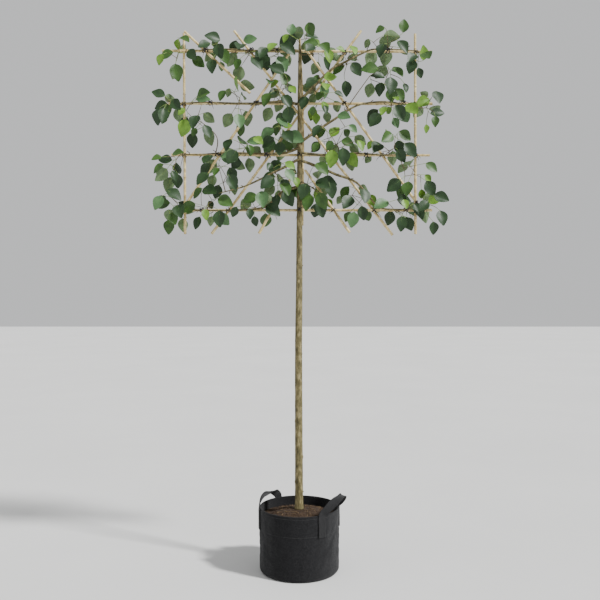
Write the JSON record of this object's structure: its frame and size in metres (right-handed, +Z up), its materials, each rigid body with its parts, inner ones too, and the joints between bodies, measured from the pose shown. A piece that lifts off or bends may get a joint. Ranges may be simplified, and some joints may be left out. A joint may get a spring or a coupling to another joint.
{
  "type": "potted espalier apple tree",
  "caption": "Half-standard apple tree in a felt grow bag: a straight stem with a flat square head of boughs and leaves, tied to a light bamboo cane frame.",
  "frame": {"origin": "centre of the grow bag's flat underside", "axes": "+Z up along the stem, +X to the right of the flat head seen from its front, front towards -Y"},
  "size_m": [1.3262, 0.3576, 2.462],
  "materials": {
    "felt": "matte",
    "compost": "matte",
    "bark": "matte",
    "bamboo": "satin",
    "leaf": "satin"
  },
  "bodies": {
    "root": {"bag": "felt", "strap_right": "felt", "strap_left": "felt", "soil": "compost", "trunk": "bark", "bough_left_top": "bark", "bough_left_upper": "bark", "bough_left_middle": "bark", "bough_left_slant": "bark", "bough_left_bottom": "bark", "bough_right_top": "bark", "bough_right_upper": "bark", "bough_right_middle": "bark", "bough_right_slant": "bark", "cane_rail_1": "bamboo", "cane_rail_2": "bamboo", "cane_rail_3": "bamboo", "cane_rail_4": "bamboo", "cane_post_left": "bamboo", "cane_post_right": "bamboo", "cane_post_middle": "bamboo", "cane_long_falling": "bamboo", "cane_long_rising": "bamboo", "cane_wing_left": "bamboo", "cane_wing_right": "bamboo", "cane_short_left": "bamboo", "cane_short_right": "bamboo", "cane_corner_left": "bamboo", "leaves_left_top_tip": "leaf", "leaves_left_top_outer": "leaf", "leaves_left_top_inner": "leaf", "leaves_left_top_stem": "leaf", "leaves_crown_top": "leaf", "leaves_left_upper_tip": "leaf", "leaves_left_upper_outer": "leaf", "leaves_left_upper_inner": "leaf", "leaves_left_upper_stem": "leaf", "leaves_left_middle_tip": "leaf", "leaves_left_middle_outer": "leaf", "leaves_left_middle_inner": "leaf", "leaves_left_middle_stem": "leaf", "leaves_left_lower_stem": "leaf", "leaves_left_bottom_tip": "leaf", "leaves_left_bottom_outer": "leaf", "leaves_left_bottom_inner": "leaf", "leaves_right_top_stem": "leaf", "leaves_right_top_inner": "leaf", "leaves_right_top_outer": "leaf", "leaves_right_top_tip": "leaf", "leaves_right_upper_stem": "leaf", "leaves_right_upper_riser": "leaf", "leaves_right_upper_outer": "leaf", "leaves_right_upper_tip": "leaf", "leaves_right_middle_outer": "leaf", "leaves_right_middle_inner": "leaf", "leaves_right_middle_tip": "leaf", "leaves_right_lower_stem": "leaf", "leaves_right_lower_inner": "leaf", "leaves_right_bottom_outer": "leaf", "leaves_right_bottom_tip": "leaf"}
  },
  "joints": []
}
